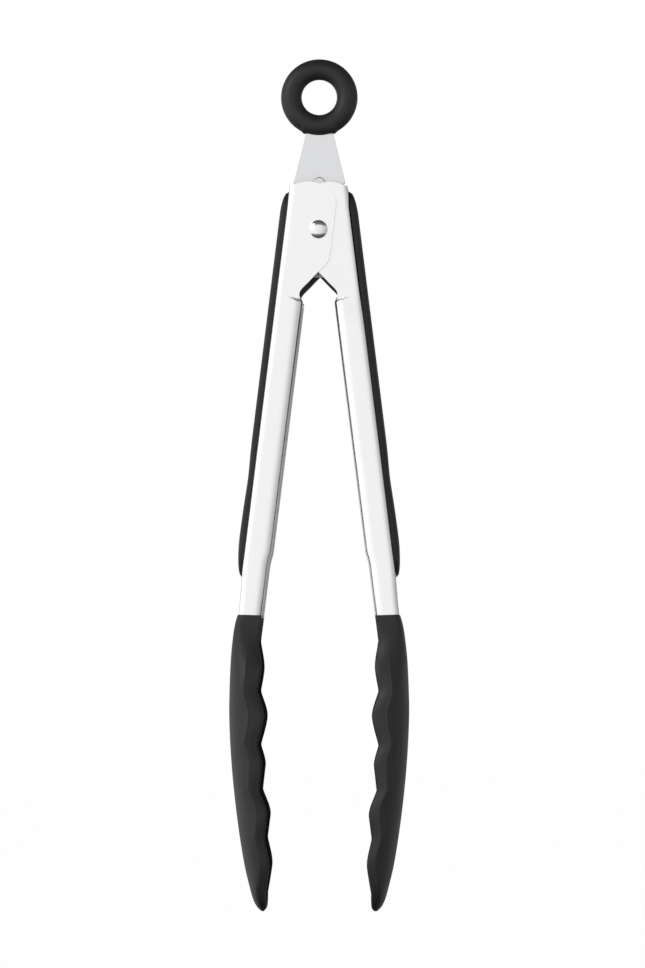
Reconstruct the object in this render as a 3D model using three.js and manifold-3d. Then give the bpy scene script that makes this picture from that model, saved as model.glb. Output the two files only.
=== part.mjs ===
// Spring loaded kitchen tongs with silicone heads, hanging upright from the rubber ring.
// Millimetres. +Z is up, +X runs across the opening, the rivet's axis lies along Y.
// The origin is the top inside point of the ring's bore, where a hook would carry the tongs.
import * as THREE from 'three';
import { mergeVertices } from 'three/addons/utils/BufferGeometryUtils.js';
import Module from 'manifold-3d';

const wasm = await Module();
wasm.setup();

// ---------------------------------------------------------------- driving dimensions
// Hanging ring
const RING_BORE = 11.0; // diameter of the hole a hook goes through
const RING_OUTER = 24.0; // outside diameter
const NECK_HALF_WIDTH = 5.0; // rubber collar around the tab's end
const NECK_DEPTH = 4.2;

// Layout along the height
const RING_CENTRE_Z = -RING_BORE / 2;
const PIVOT_BELOW_RING = 42.2; // ring centre to rivet axis
const PIVOT_Z = RING_CENTRE_Z - PIVOT_BELOW_RING;
const OPEN_LEAN = THREE.MathUtils.degToRad(7.03); // each arm's lean when the tongs are open

// Sheet steel of the arms
const SHEET = 0.9;
const OUTER_ARM_HALF_WIDTH = 9.0; // left arm, whose ears are outside
const INNER_EAR_HALF_WIDTH = 7.95; // right arm, pinched to fit between the left arm's ears
const WEB_OUT = 10.55; // rivet axis to the web's outer face
const WEB_AT_HEAD = 10.0; // the channel draws in a little before it enters the head
const LIP_UPPER = 2.1; // rivet axis to the curled lips, above the step
const LIP_LOWER = 2.9; // and below it
const STEP_START = 100.5; // distances down the arm, from the rivet's axis
const STEP_END = 105.6;
const TAPER_START = 104.0;
const LIP_START = 24.4;
const CHANNEL_END = 124.5;
const PINCH_START = 20;
const PINCH_END = 34;
const BEND_RADIUS = 1.4;
const CURL_RADIUS = 1.9;
const CURL_WIDTH = 3.0; // how far the curled lip reaches inwards
const TONGUE_HALF_WIDTH = 7.0; // steel tongue inside the silicone head

// Ears, in the arm's own frame: across (towards the back of the arm) and up from the rivet
const EAR_OUTLINE = [
  [9.0, 13.7], [5.8, 14.4], [2.0, 14.3], [-0.9, 13.4], [-3.1, 11.6], [-4.25, 9.5], [-4.45, 8.2],
  [-4.5, -0.1], [-4.5, -7.6], [-4.3, -9.5], [-1.35, -13.45], [2.9, -19.1], [3.4, -20.4], [3.2, -21.8],
  [2.3, -24.0], [2.1, -25.2],
];

// Rivet, bushes and spring on the pivot's axis
const SHANK_RADIUS = 2.0;
const RIVET_HOLE_RADIUS = 2.15;
const RIVET_HEAD_RADIUS = 2.87;
const RIVET_HEAD_HEIGHT = 1.5;
const BUSH_RADIUS = 3.7;
const SPRING_BUSH_RADIUS = 3.0;
const SPRING_FLANGE_RADIUS = 5.2;
const SPRING_FLANGE = 0.7;
const WIRE_RADIUS = 0.6;
const COIL_RADIUS = 3.95;
const COIL_START_Y = 2.3;
const COIL_END_Y = 6.25;
const COIL_WHOLE_TURNS = 3;
const LEG_TIP = [11.0, -20.0];

// Pull tab
const TAB_THICKNESS = 1.4;
const TAB_TRAVEL = 9.0;
const TAB_OUTLINE = [ // right half, from the anchor in the ring down to the lower end
  [3.8, 34.6], [4.0, 32.2], [4.4, 30.6], [8.1, 15.6], [8.05, 15.2], [7.2, 14.7], [7.2, 2.2],
  [7.7, 1.2], [7.7, -3.0], [7.2, -4.2], [6.6, -12.4], [5.2, -14.2],
];
const STOP_BUMP_Z = 15.4;
const STOP_BUMP_RADIUS = 1.8;
const STOP_BUMP_HEIGHT = 0.9;

// Soft grips on the backs of the arms, distances down the arm
const GRIP_TOP = -11.4;
const GRIP_END = 110.0;
const GRIP_THICKNESS = 2.25;
const GRIP_HALF_WIDTH = 7.6;
const GRIP_TOP_TAPER = 6.5;
const GRIP_END_TAPER = 8.5;
const GRIP_STUDS = [12, 50, 88];
const STUD_RADIUS = 1.6;
const STUD_HOLE_RADIUS = 1.9;
const STUD_HEAD_RADIUS = 2.8;

// Silicone heads, distances down the arm
const COLLAR = 121.5;
const TIP = 212.0;
const HEAD_BACK = [ // distance down the arm, back surface across from the rivet's axis
  [121.5, 10.5], [124.5, 10.75], [128, 10.95], [136, 10.85], [147, 10.0], [154.5, 9.1], [165.5, 7.2],
  [176.5, 4.85], [187.5, 2.1], [198.5, -1.1], [205.5, -3.7], [209, -5.2], [211, -6.6], [212, -7.85],
];
const HEAD_RIM = [ // the scalloped rim's crests and valleys in turn, the first is a crest
  [121.5, 2.7], [129, 2.75], [138.2, 0.65], [144.4, 0.95], [152.6, -2.05], [161, -1.1], [167.6, -3.3],
  [174.8, -3.4], [182.7, -6.75], [189.4, -6.75], [198.4, -9.3], [206.1, -9.1], [210.6, -9.55], [212, -8.9],
];
const RIM_ROUNDING = 0.45; // 0 makes the valleys sharp and 1 makes them as round as the crests
const HEAD_WIDTH = [ // half widths of the head
  [121.5, 9.65], [125, 10.0], [133, 11.8], [143, 14.1], [153, 15.1], [167, 15.3], [181, 15.1],
  [194, 13.9], [203, 11.3], [208, 8.6], [211, 5.2], [212, 2.6],
];
const RIM_WALL = 2.4;
const BACK_WALL = 3.5;
const SIDE_BAND = 4.0;
const FIT = 0.2; // gap around the steel inside the silicone

// ---------------------------------------------------------------- materials
const material = (name, color, roughness, metalness) => {
  const made = new THREE.MeshStandardMaterial({ color, roughness, metalness });
  made.name = name;
  return made;
};
const armSteel = material('arm_steel', 0xd8d8d6, 0.3, 1.0);
const tabSteel = material('tab_steel', 0xc2c3c4, 0.38, 1.0);
const rivetSteel = material('rivet_steel', 0xdcdcdc, 0.12, 1.0);
const springSteel = material('spring_steel', 0xa8a9ab, 0.3, 1.0);
const bushNylon = material('bush_nylon', 0xe4e2da, 0.5, 0.0);
const gripRubber = material('grip_rubber', 0x2a2a2c, 0.62, 0.0);
const ringRubber = material('ring_rubber', 0x2c2c2e, 0.55, 0.0);
const headSilicone = material('head_silicone', 0x303134, 0.5, 0.0);

// ---------------------------------------------------------------- helpers
// A closed mesh as a solid that can be joined and cut.
function solid(geometry) {
  const plain = geometry.clone();
  plain.deleteAttribute('normal');
  plain.deleteAttribute('uv');
  const merged = mergeVertices(plain, 1e-5);
  const vertProperties = Float32Array.from(merged.attributes.position.array);
  const triVerts = Uint32Array.from(merged.index.array);
  return new wasm.Manifold(new wasm.Mesh({ numProp: 3, vertProperties, triVerts }));
}

// The solid back as a drawable geometry.
function drawable(body) {
  const mesh = body.getMesh();
  const geometry = new THREE.BufferGeometry();
  geometry.setAttribute('position', new THREE.BufferAttribute(Float32Array.from(mesh.vertProperties), 3));
  geometry.setIndex(Array.from(mesh.triVerts));
  geometry.computeVertexNormals();
  return geometry;
}

// Mirror image across the middle plane between the arms.
function mirrorX(geometry) {
  const flipped = geometry.clone().scale(-1, 1, 1);
  const index = flipped.index;
  for (let i = 0; i < index.count; i += 3) {
    const second = index.getX(i + 1);
    index.setX(i + 1, index.getX(i + 2));
    index.setX(i + 2, second);
  }
  flipped.computeVertexNormals();
  return flipped;
}

// A smooth curve through table rows [position, value].
function through(table, at) {
  const last = table.length - 1;
  if (at <= table[0][0]) return table[0][1];
  if (at >= table[last][0]) return table[last][1];
  let i = 0;
  while (table[i + 1][0] < at) i += 1;
  const slope = (k) => {
    const a = table[Math.max(k - 1, 0)];
    const b = table[Math.min(k + 1, last)];
    return (b[1] - a[1]) / (b[0] - a[0]);
  };
  const [x0, y0] = table[i];
  const [x1, y1] = table[i + 1];
  const span = x1 - x0;
  const t = (at - x0) / span;
  const end = t * t * (3 - 2 * t);
  const leave = t ** 3 - 2 * t ** 2 + t;
  const arrive = t ** 3 - t ** 2;
  return y0 + (y1 - y0) * end + span * (leave * slope(i) + arrive * slope(i + 1));
}

// An outline in the X-Z plane, made solid between two Y positions.
function plate(points, yFrom, yTo) {
  const shape = new THREE.Shape(points.map(([x, z]) => new THREE.Vector2(x, z)));
  const geometry = new THREE.ExtrudeGeometry(shape, { depth: yTo - yFrom, bevelEnabled: false });
  return geometry.rotateX(Math.PI / 2).translate(0, yTo, 0);
}

// A round bar between two points of one axis direction.
function rod(radius, from, to, segments = 20) {
  const start = new THREE.Vector3(...from);
  const end = new THREE.Vector3(...to);
  const geometry = new THREE.CylinderGeometry(radius, radius, start.distanceTo(end), segments);
  const turn = new THREE.Quaternion().setFromUnitVectors(
    new THREE.Vector3(0, 1, 0), end.clone().sub(start).normalize());
  return geometry.applyQuaternion(turn).translate(...start.add(end).multiplyScalar(0.5).toArray());
}

// A body through a row of flat outlines, all with the same number of points.
// Each outline lies at its own height and holds [x, y] pairs.
function loft(outlines) {
  const count = outlines[0].points.length;
  const positions = outlines.flatMap(({ z, points }) => points.flatMap(([x, y]) => [x, y, z]));
  const index = [];
  for (let k = 0; k < outlines.length - 1; k += 1) {
    for (let i = 0; i < count; i += 1) {
      const a = k * count + i;
      const b = k * count + (i + 1) % count;
      index.push(a, a + count, b, b, a + count, b + count);
    }
  }
  const cap = (k, flip) => {
    const flat = outlines[k].points.map(([x, y]) => new THREE.Vector2(x, y));
    for (const [a, b, c] of THREE.ShapeUtils.triangulateShape(flat, [])) {
      index.push(...(flip ? [a, c, b] : [a, b, c]).map((i) => i + k * count));
    }
  };
  cap(0, false);
  cap(outlines.length - 1, true);
  const geometry = new THREE.BufferGeometry();
  geometry.setAttribute('position', new THREE.Float32BufferAttribute(positions, 3));
  geometry.setIndex(index);
  return geometry;
}

// A polyline whose inner corners are rounded with short arcs.
function rounded(points, radii, segments = 4) {
  const out = [];
  points.forEach((point, i) => {
    const radius = radii[i];
    if (!radius) {
      out.push(point);
      return;
    }
    const corner = new THREE.Vector2(...point);
    const before = new THREE.Vector2(...points[i - 1]).sub(corner).normalize();
    const after = new THREE.Vector2(...points[i + 1]).sub(corner).normalize();
    const centre = corner.clone().addScaledVector(before, radius).addScaledVector(after, radius);
    for (let k = 0; k <= segments; k += 1) {
      const t = (k / segments) * (Math.PI / 2);
      const onArc = centre.clone()
        .addScaledVector(after, -radius * Math.cos(t))
        .addScaledVector(before, -radius * Math.sin(t));
      out.push([onArc.x, onArc.y]);
    }
  });
  return out;
}

// A strip of even thickness on both sides of a polyline, as one closed outline.
function ribbon(path, thickness, endGrowth = 0) {
  const left = [];
  const right = [];
  path.forEach((point, i) => {
    const prev = path[Math.max(i - 1, 0)];
    const next = path[Math.min(i + 1, path.length - 1)];
    const d1 = new THREE.Vector2(point[0] - prev[0], point[1] - prev[1]);
    const d2 = new THREE.Vector2(next[0] - point[0], next[1] - point[1]);
    if (d1.length() === 0) d1.copy(d2);
    if (d2.length() === 0) d2.copy(d1);
    d1.normalize();
    d2.normalize();
    const along = d1.clone().add(d2).normalize();
    const reach = thickness / 2 / along.dot(d1);
    const end = i === 0 ? -endGrowth : i === path.length - 1 ? endGrowth : 0;
    const base = [point[0] + along.x * end, point[1] + along.y * end];
    left.push([base[0] - along.y * reach, base[1] + along.x * reach]);
    right.push([base[0] + along.y * reach, base[1] - along.x * reach]);
  });
  return [...left, ...right.reverse()];
}

const signedArea = (points) => THREE.ShapeUtils.area(points.map(([x, y]) => new THREE.Vector2(x, y)));
const anticlockwise = (points) => (signedArea(points) < 0 ? [...points].reverse() : points);

function spun(profile, segments = 40) {
  const geometry = new THREE.LatheGeometry(profile.map(([r, y]) => new THREE.Vector2(r, y)), segments);
  return solid(geometry);
}

// ---------------------------------------------------------------- steel arms
// Middle line of the folded sheet: a plain channel, or one with curled-in lips.
function channelPath(webOut, halfWidth, lip, curled) {
  const web = webOut - SHEET / 2;
  const side = halfWidth - SHEET / 2;
  if (!curled) {
    return rounded([[-14, side], [web, side], [web, -side], [-14, -side]], [0, BEND_RADIUS, BEND_RADIUS, 0]);
  }
  const edge = lip + SHEET / 2;
  const inner = side - CURL_WIDTH + SHEET / 2;
  return rounded(
    [[edge, inner], [edge, side], [web, side], [web, -side], [edge, -side], [edge, -inner]],
    [0, CURL_RADIUS, BEND_RADIUS, BEND_RADIUS, CURL_RADIUS, 0]);
}

const webAt = (down) => THREE.MathUtils.lerp(
  WEB_OUT, WEB_AT_HEAD, THREE.MathUtils.smoothstep(down, TAPER_START, COLLAR));
const lipAt = (down) => THREE.MathUtils.lerp(
  LIP_UPPER, LIP_LOWER, THREE.MathUtils.smoothstep(down, STEP_START, STEP_END));
const halfWidthAt = (down, earHalfWidth) => THREE.MathUtils.lerp(
  earHalfWidth, OUTER_ARM_HALF_WIDTH, THREE.MathUtils.smoothstep(down, PINCH_START, PINCH_END));

function channel(downs, earHalfWidth, curled, growth = 0) {
  const outlines = downs.map((down) => {
    const path = channelPath(webAt(down), halfWidthAt(down, earHalfWidth), lipAt(down), curled);
    return { z: -down, points: anticlockwise(ribbon(path, SHEET + 2 * growth, growth)) };
  });
  return solid(loft(outlines));
}

// The tongue follows the back of the silicone head.
const tongueBack = (down) => Math.min(webAt(down), through(HEAD_BACK, down) - 1.15);
function tongue(growth) {
  const outer = [];
  const inner = [];
  for (let down = 119; down <= 191; down += 4) {
    outer.push([tongueBack(down) + growth, -down]);
    inner.push([tongueBack(down) - SHEET - growth, -down]);
  }
  const end = growth > 0 ? -191 - growth : -191;
  outer.push([tongueBack(191) + growth, end - 0.01]);
  inner.push([tongueBack(191) - SHEET - growth, end - 0.01]);
  return solid(plate([...outer, ...inner.reverse()], -TONGUE_HALF_WIDTH - growth, TONGUE_HALF_WIDTH + growth));
}

function arm(earHalfWidth) {
  const backCorner = [[WEB_OUT + 1, -30], [WEB_OUT + 1, 12.0], [10.3, 12.8], [9.9, 13.4]];
  const sideView = solid(plate([...backCorner, ...EAR_OUTLINE, [LIP_UPPER, -30]], -20, 20));
  const pinch = [PINCH_START, 22.5, 25, 27, 29];
  const upper = channel([-16, 0, ...pinch], earHalfWidth, false).intersect(sideView)
    .subtract(solid(new THREE.BoxGeometry(60, 60, 20).translate(0, 0, -LIP_START - 0.6 - 10)));
  const step = [STEP_START, 101.5, 102.3, 103.1, 103.8, 104.6, STEP_END];
  const lower = channel(
    [LIP_START, 27, 29, 31.5, PINCH_END, ...step, 110, 116, CHANNEL_END], earHalfWidth, true);
  let body = upper.add(lower).add(tongue(0));
  body = body.subtract(solid(rod(RIVET_HOLE_RADIUS, [0, -20, 0], [0, 20, 0], 32)));
  for (const down of GRIP_STUDS) {
    body = body.subtract(solid(rod(STUD_HOLE_RADIUS, [5, 0, -down], [15, 0, -down])));
  }
  return drawable(body);
}

// ---------------------------------------------------------------- soft grips
function grip() {
  const base = WEB_OUT + 0.1;
  const ramp = (t) => Math.sqrt(Math.max(0, 1 - (1 - Math.min(t, 1)) ** 2));
  const downs = [0.04, 0.5, 1.4, 3, 5, 8].map((step) => GRIP_TOP + step);
  for (let down = 0; down <= 99; down += 11) downs.push(down);
  downs.push(...[10, 7.5, 5, 3, 1.4, 0.5, 0.04].map((step) => GRIP_END - step));
  const outlines = downs.map((down) => {
    const top = ramp((down - GRIP_TOP) / GRIP_TOP_TAPER);
    const end = ramp((GRIP_END - down) / GRIP_END_TAPER);
    const height = 0.25 + (GRIP_THICKNESS - 0.35) * Math.min(top, end);
    const half = 1.2 + (GRIP_HALF_WIDTH - 1.2) * Math.min(top, end);
    const crown = Math.min(1.4, height * 0.7);
    const points = [[base, -half], [base + height - crown, -half]];
    for (let k = 1; k < 4; k += 1) {
      const t = (k / 4) * (Math.PI / 2);
      points.push([base + height - crown + crown * Math.sin(t), -half + crown * (1 - Math.cos(t))]);
    }
    points.push([base + height, -half + crown], [base + height, half - crown]);
    for (let k = 3; k > 0; k -= 1) {
      const t = (k / 4) * (Math.PI / 2);
      points.push([base + height - crown + crown * Math.sin(t), half - crown * (1 - Math.cos(t))]);
    }
    points.push([base + height - crown, half], [base, half]);
    return { z: -down, points: anticlockwise(points) };
  });
  let body = solid(loft(outlines));
  for (const down of GRIP_STUDS) {
    const inside = WEB_OUT - SHEET - 0.2;
    body = body.add(solid(rod(STUD_RADIUS, [base + 0.6, 0, -down], [inside - 0.5, 0, -down])));
    body = body.add(solid(rod(STUD_HEAD_RADIUS, [inside, 0, -down], [inside - 1.0, 0, -down])));
  }
  return drawable(body);
}

// ---------------------------------------------------------------- silicone heads
// Rounded scallops that meet in narrower valleys.
function rimAt(down) {
  let i = 0;
  while (i < HEAD_RIM.length - 2 && HEAD_RIM[i + 1][0] < down) i += 1;
  const [from, a] = HEAD_RIM[i];
  const [to, b] = HEAD_RIM[i + 1];
  const t = THREE.MathUtils.clamp((down - from) / (to - from), 0, 1);
  const risingToCrest = i % 2 === 1;
  const scallop = risingToCrest ? 1 - (1 - t) ** 2 : t ** 2;
  const wave = t * t * (3 - 2 * t);
  return THREE.MathUtils.lerp(a, b, THREE.MathUtils.lerp(scallop, wave, RIM_ROUNDING));
}

function headOutline(down) {
  const back = through(HEAD_BACK, down);
  const rim = rimAt(down);
  const half = through(HEAD_WIDTH, down);
  const depth = back - rim;
  const band = Math.min(SIDE_BAND, depth * 0.42);
  const hollow = Math.max(0.4, depth - BACK_WALL)
    * THREE.MathUtils.smoothstep(down, CHANNEL_END + 2, CHANNEL_END + 22)
    * (1 - THREE.MathUtils.smoothstep(down, TIP - 9, TIP - 1)) + 0.15;
  const wall = Math.min(RIM_WALL, half * 0.55);
  const edge = Math.min(0.8, band * 0.5);
  const outer = [[rim, half - edge], [rim + 0.3 * edge, half - 0.3 * edge], [rim + edge, half]];
  // The collar is boxy like the steel inside it, and the scoop below it has a round back.
  const round = THREE.MathUtils.lerp(0.28, 0.8, THREE.MathUtils.smoothstep(down, CHANNEL_END, CHANNEL_END + 22));
  for (let k = 0; k <= 6; k += 1) {
    const t = (k / 6) * (Math.PI / 2);
    outer.push([rim + band + (depth - band) * Math.sin(t) ** round, half * Math.cos(t) ** round]);
  }
  const mirrored = outer.slice(0, -1).reverse().map(([x, y]) => [x, -y]);
  outer[outer.length - 1][1] = 0;
  const inner = [];
  for (let k = 0; k <= 8; k += 1) {
    const t = -Math.PI / 2 + (k / 8) * Math.PI;
    inner.push([rim + hollow * Math.max(Math.cos(t), 0) ** 0.8, (half - wall) * Math.sin(t)]);
  }
  return { z: -down, points: anticlockwise([...outer, ...mirrored, ...inner]) };
}

function head() {
  const downs = [COLLAR, 123.5, 126];
  for (let down = 128; down <= 206; down += 2.5) downs.push(down);
  downs.push(207.4, 209, 210.2, 211.2, TIP);
  const body = solid(loft(downs.map(headOutline)));
  const channelPocket = channel([COLLAR - 1, CHANNEL_END + FIT], OUTER_ARM_HALF_WIDTH, true, FIT);
  return drawable(body.subtract(channelPocket).subtract(tongue(FIT)));
}

// ---------------------------------------------------------------- tab and ring
function pullTab() {
  const left = [...TAB_OUTLINE].reverse().map(([x, z]) => [-x, z]);
  const half = TAB_THICKNESS / 2;
  let body = solid(plate([...TAB_OUTLINE, ...left], -half, half));
  const slotRadius = SHANK_RADIUS + 0.3;
  const slot = solid(rod(slotRadius, [0, -5, 0], [0, 5, 0], 28))
    .add(solid(rod(slotRadius, [0, -5, -TAB_TRAVEL], [0, 5, -TAB_TRAVEL], 28)))
    .add(solid(new THREE.BoxGeometry(2 * slotRadius, 10, TAB_TRAVEL).translate(0, 0, -TAB_TRAVEL / 2)));
  body = body.subtract(slot);
  const bumpTop = half + STOP_BUMP_HEIGHT;
  body = body.add(solid(rod(STOP_BUMP_RADIUS, [0, -bumpTop, STOP_BUMP_Z], [0, bumpTop, STOP_BUMP_Z], 24)));
  return drawable(body);
}

function hangRing() {
  const tube = (RING_OUTER - RING_BORE) / 4;
  const middle = RING_BORE / 2 + tube;
  const torus = solid(new THREE.TorusGeometry(middle, tube, 14, 40).rotateX(Math.PI / 2));
  const neckTop = -middle;
  const neck = solid(plate(
    [[-NECK_HALF_WIDTH, -11.45], [NECK_HALF_WIDTH, -11.45], [NECK_HALF_WIDTH + 0.9, -9.4],
      [NECK_HALF_WIDTH - 1, neckTop], [1 - NECK_HALF_WIDTH, neckTop], [-NECK_HALF_WIDTH - 0.9, -9.4]],
    -NECK_DEPTH / 2, NECK_DEPTH / 2));
  const gap = 0.3;
  const anchor = TAB_OUTLINE.slice(0, 3).map(([x, z]) => [x + gap, z - PIVOT_BELOW_RING]);
  anchor[0][1] += gap;
  anchor.push([anchor[2][0] + 1, anchor[2][1] - 2]);
  const mirrored = [...anchor].reverse().map(([x, z]) => [-x, z]);
  const pocket = solid(plate([...anchor, ...mirrored], -TAB_THICKNESS / 2 - gap, TAB_THICKNESS / 2 + gap));
  return drawable(torus.add(neck).subtract(pocket));
}

// ---------------------------------------------------------------- pivot parts
function rivet() {
  const end = OUTER_ARM_HALF_WIDTH + 0.1;
  const dome = [];
  for (let k = 0; k <= 5; k += 1) {
    const t = (k / 5) * (Math.PI / 2);
    dome.push([RIVET_HEAD_RADIUS * Math.sin(t), end + 0.3 + (RIVET_HEAD_HEIGHT - 0.3) * Math.cos(t)]);
  }
  dome[0][0] = 0;
  const upper = [[SHANK_RADIUS, end], [RIVET_HEAD_RADIUS, end], ...[...dome].reverse()];
  const lower = [...upper].reverse().map(([r, y]) => [r, -y]);
  return drawable(spun([...lower, ...upper], 28));
}

function spacerBush() {
  const from = TAB_THICKNESS / 2 + 0.1;
  const to = INNER_EAR_HALF_WIDTH - SHEET - 0.1;
  const profile = [[RIVET_HOLE_RADIUS, -to], [BUSH_RADIUS, -to], [BUSH_RADIUS, -from], [RIVET_HOLE_RADIUS, -from],
    [RIVET_HOLE_RADIUS, -to]];
  return drawable(spun(profile, 32));
}

function springBush() {
  const from = TAB_THICKNESS / 2 + 0.1;
  const to = INNER_EAR_HALF_WIDTH - SHEET - 0.1;
  const flangeTop = from + SPRING_FLANGE;
  const profile = [[RIVET_HOLE_RADIUS, from], [SPRING_FLANGE_RADIUS, from], [SPRING_FLANGE_RADIUS, flangeTop],
    [SPRING_BUSH_RADIUS, flangeTop], [SPRING_BUSH_RADIUS, to], [RIVET_HOLE_RADIUS, to], [RIVET_HOLE_RADIUS, from]];
  return drawable(spun(profile, 32));
}

// Coil around the rear bush, with one leg bearing on each arm's web.
function torsionSpring() {
  const leave = THREE.MathUtils.degToRad(19);
  const sweep = 2 * Math.PI * COIL_WHOLE_TURNS + Math.PI - 2 * leave;
  const points = [];
  const legSteps = 5;
  const start = [COIL_RADIUS * Math.cos(leave), COIL_RADIUS * Math.sin(leave)];
  for (let k = 0; k < legSteps; k += 1) {
    const t = k / legSteps;
    points.push(new THREE.Vector3(
      LEG_TIP[0] + (start[0] - LEG_TIP[0]) * t, COIL_START_Y, LEG_TIP[1] + (start[1] - LEG_TIP[1]) * t));
  }
  const coilSteps = 76;
  for (let k = 0; k <= coilSteps; k += 1) {
    const angle = leave + (sweep * k) / coilSteps;
    points.push(new THREE.Vector3(
      COIL_RADIUS * Math.cos(angle), COIL_START_Y + ((COIL_END_Y - COIL_START_Y) * k) / coilSteps,
      COIL_RADIUS * Math.sin(angle)));
  }
  for (let k = legSteps - 1; k >= 0; k -= 1) {
    const t = k / legSteps;
    points.push(new THREE.Vector3(
      -(LEG_TIP[0] + (start[0] - LEG_TIP[0]) * t), COIL_END_Y, LEG_TIP[1] + (start[1] - LEG_TIP[1]) * t));
  }
  const section = new THREE.Shape();
  section.absarc(0, 0, WIRE_RADIUS, 0, 2 * Math.PI);
  const geometry = new THREE.ExtrudeGeometry(section, {
    steps: 100, curveSegments: 4, bevelEnabled: false, extrudePath: new THREE.CatmullRomCurve3(points),
  });
  return drawable(solid(geometry));
}

// ---------------------------------------------------------------- the assembly
function piece(name, geometry, look) {
  const mesh = new THREE.Mesh(geometry, look);
  mesh.name = name;
  return mesh;
}

const tongs = new THREE.Group();

const ring = piece('hang_ring', hangRing(), ringRubber);
ring.position.z = RING_CENTRE_Z;
tongs.add(ring);

const pivot = new THREE.Group();
pivot.position.z = PIVOT_Z;
pivot.add(piece('pull_tab', pullTab(), tabSteel));
pivot.add(piece('pivot_rivet', rivet(), rivetSteel));
pivot.add(piece('spacer_bush', spacerBush(), bushNylon));
pivot.add(piece('spring_bush', springBush(), bushNylon));
pivot.add(piece('torsion_spring', torsionSpring(), springSteel));

const rightArm = new THREE.Group();
rightArm.rotation.y = -OPEN_LEAN;
rightArm.add(piece('right_arm', arm(INNER_EAR_HALF_WIDTH), armSteel));
rightArm.add(piece('right_grip', grip(), gripRubber));
rightArm.add(piece('right_head', head(), headSilicone));

const leftArm = new THREE.Group();
leftArm.rotation.y = OPEN_LEAN;
leftArm.add(piece('left_arm', mirrorX(arm(OUTER_ARM_HALF_WIDTH)), armSteel));
leftArm.add(piece('left_grip', mirrorX(grip()), gripRubber));
leftArm.add(piece('left_head', mirrorX(head()), headSilicone));

pivot.add(leftArm, rightArm);
tongs.add(pivot);

export default tongs;
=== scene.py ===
# %% [markdown]
# # Spring loaded kitchen tongs
# A small pair of tongs hangs upright from its rubber ring. Two folded steel arms cross at a rivet, a
# sliding tab between them carries the ring, soft strips cover the backs of the arms, and two scalloped
# silicone scoops hold the food. The solid parts come from the frame. Each of them is modelled again here
# with finer detail, in the same place and at the same size.

# %% Load the frame
import math
from types import SimpleNamespace

import bmesh
import bpy
from mathutils import Matrix, Vector


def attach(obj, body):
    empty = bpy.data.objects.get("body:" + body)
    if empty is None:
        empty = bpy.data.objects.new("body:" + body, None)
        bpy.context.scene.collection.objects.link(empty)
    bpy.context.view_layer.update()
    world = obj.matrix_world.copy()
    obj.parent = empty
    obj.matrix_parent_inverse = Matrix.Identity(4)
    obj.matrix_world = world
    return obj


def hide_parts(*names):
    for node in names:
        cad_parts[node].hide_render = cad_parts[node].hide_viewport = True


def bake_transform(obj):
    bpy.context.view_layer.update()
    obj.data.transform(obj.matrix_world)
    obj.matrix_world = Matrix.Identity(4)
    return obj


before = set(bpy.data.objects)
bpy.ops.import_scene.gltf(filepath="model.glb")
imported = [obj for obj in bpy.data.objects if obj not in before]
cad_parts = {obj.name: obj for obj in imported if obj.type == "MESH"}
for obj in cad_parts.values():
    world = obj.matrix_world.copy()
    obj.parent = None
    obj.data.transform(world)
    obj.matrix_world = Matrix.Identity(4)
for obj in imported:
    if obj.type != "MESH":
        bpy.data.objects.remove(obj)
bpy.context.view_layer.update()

# %% [markdown]
# ## Shared dimensions
# All lengths below are written in millimetres, as a maker's drawing has them, and turned into metres
# once, when a mesh is put in place. The origin is the point of the ring's bore that rests on a hook.
# Each arm is drawn in a frame of its own: X points to the arm's back, Z up along the arm, and the
# rivet's axis is the Y axis. "Down" is the distance below the rivet along the arm, and "across" the
# distance from the rivet towards the back.

# %% Dimensions
MM = 0.001
RING_BORE = 11.0
RING_OUTER = 24.0
RING_CENTRE_Z = -RING_BORE / 2
PIVOT_BELOW_RING = 42.2
PIVOT_Z = RING_CENTRE_Z - PIVOT_BELOW_RING
OPEN_LEAN = math.radians(7.03)

SHEET = 0.9
OUTER_HALF_WIDTH = 9.0
INNER_HALF_WIDTH = 7.95
WEB_OUT = 10.55
WEB_AT_HEAD = 10.0
SHANK_RADIUS = 2.0
TAB_THICKNESS = 1.4
TAB_TRAVEL = 9.0
WELD = 1e-4

TO_PIVOT = Matrix.Translation((0, 0, PIVOT_Z * MM))
PIVOT_PLACE = TO_PIVOT @ Matrix.Scale(MM, 4)
RING_PLACE = Matrix.Translation((0, 0, RING_CENTRE_Z * MM)) @ Matrix.Scale(MM, 4)
print("rivet axis at z =", round(PIVOT_Z, 2), "mm")

# %% [markdown]
# ## Helpers for placing and finishing
# An object could be given a location and a scale, but a pattern on Object coordinates would then stretch
# with it. So a bmesh is drawn in millimetres, and `put` moves and scales the mesh itself: every finished
# object sits at the origin, unturned and unscaled. The left arm's parts are the right arm's mirrored. A
# mirror turns a mesh inside out, so the normals are recalculated afterwards.


# %% Placing helpers
def arm_place(side):
    """From an arm's own frame to the hanging tongs. side is 1 for the right arm and -1 for the left."""
    mirror = Matrix.Diagonal((side, 1, 1, 1))
    return TO_PIVOT @ Matrix.Rotation(-OPEN_LEAN * side, 4, "Y") @ mirror @ Matrix.Scale(MM, 4)


def put(bm, name, place, body, node, look):
    """Makes a finished object of a bmesh, shaded smooth, riding on its body in place of its CAD node."""
    bmesh.ops.transform(bm, matrix=place, verts=bm.verts)
    bmesh.ops.recalc_face_normals(bm, faces=bm.faces)
    mesh = bpy.data.meshes.new(name)
    bm.to_mesh(mesh)
    bm.free()
    mesh.shade_smooth()
    mesh.materials.append(look)
    made = bpy.data.objects.new(name, mesh)
    bpy.context.scene.collection.objects.link(made)
    if body:
        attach(made, body)
    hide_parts(node)
    print(name, len(mesh.vertices), "vertices")
    return made


def put_on_arm(bm, side, piece, node, look):
    """Puts a piece on the right arm, or mirrored on the left one."""
    body = "right" if side > 0 else "left"
    return put(bm, f"{body}_{piece}", arm_place(side), body, f"{body}_{node}", look)


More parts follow.
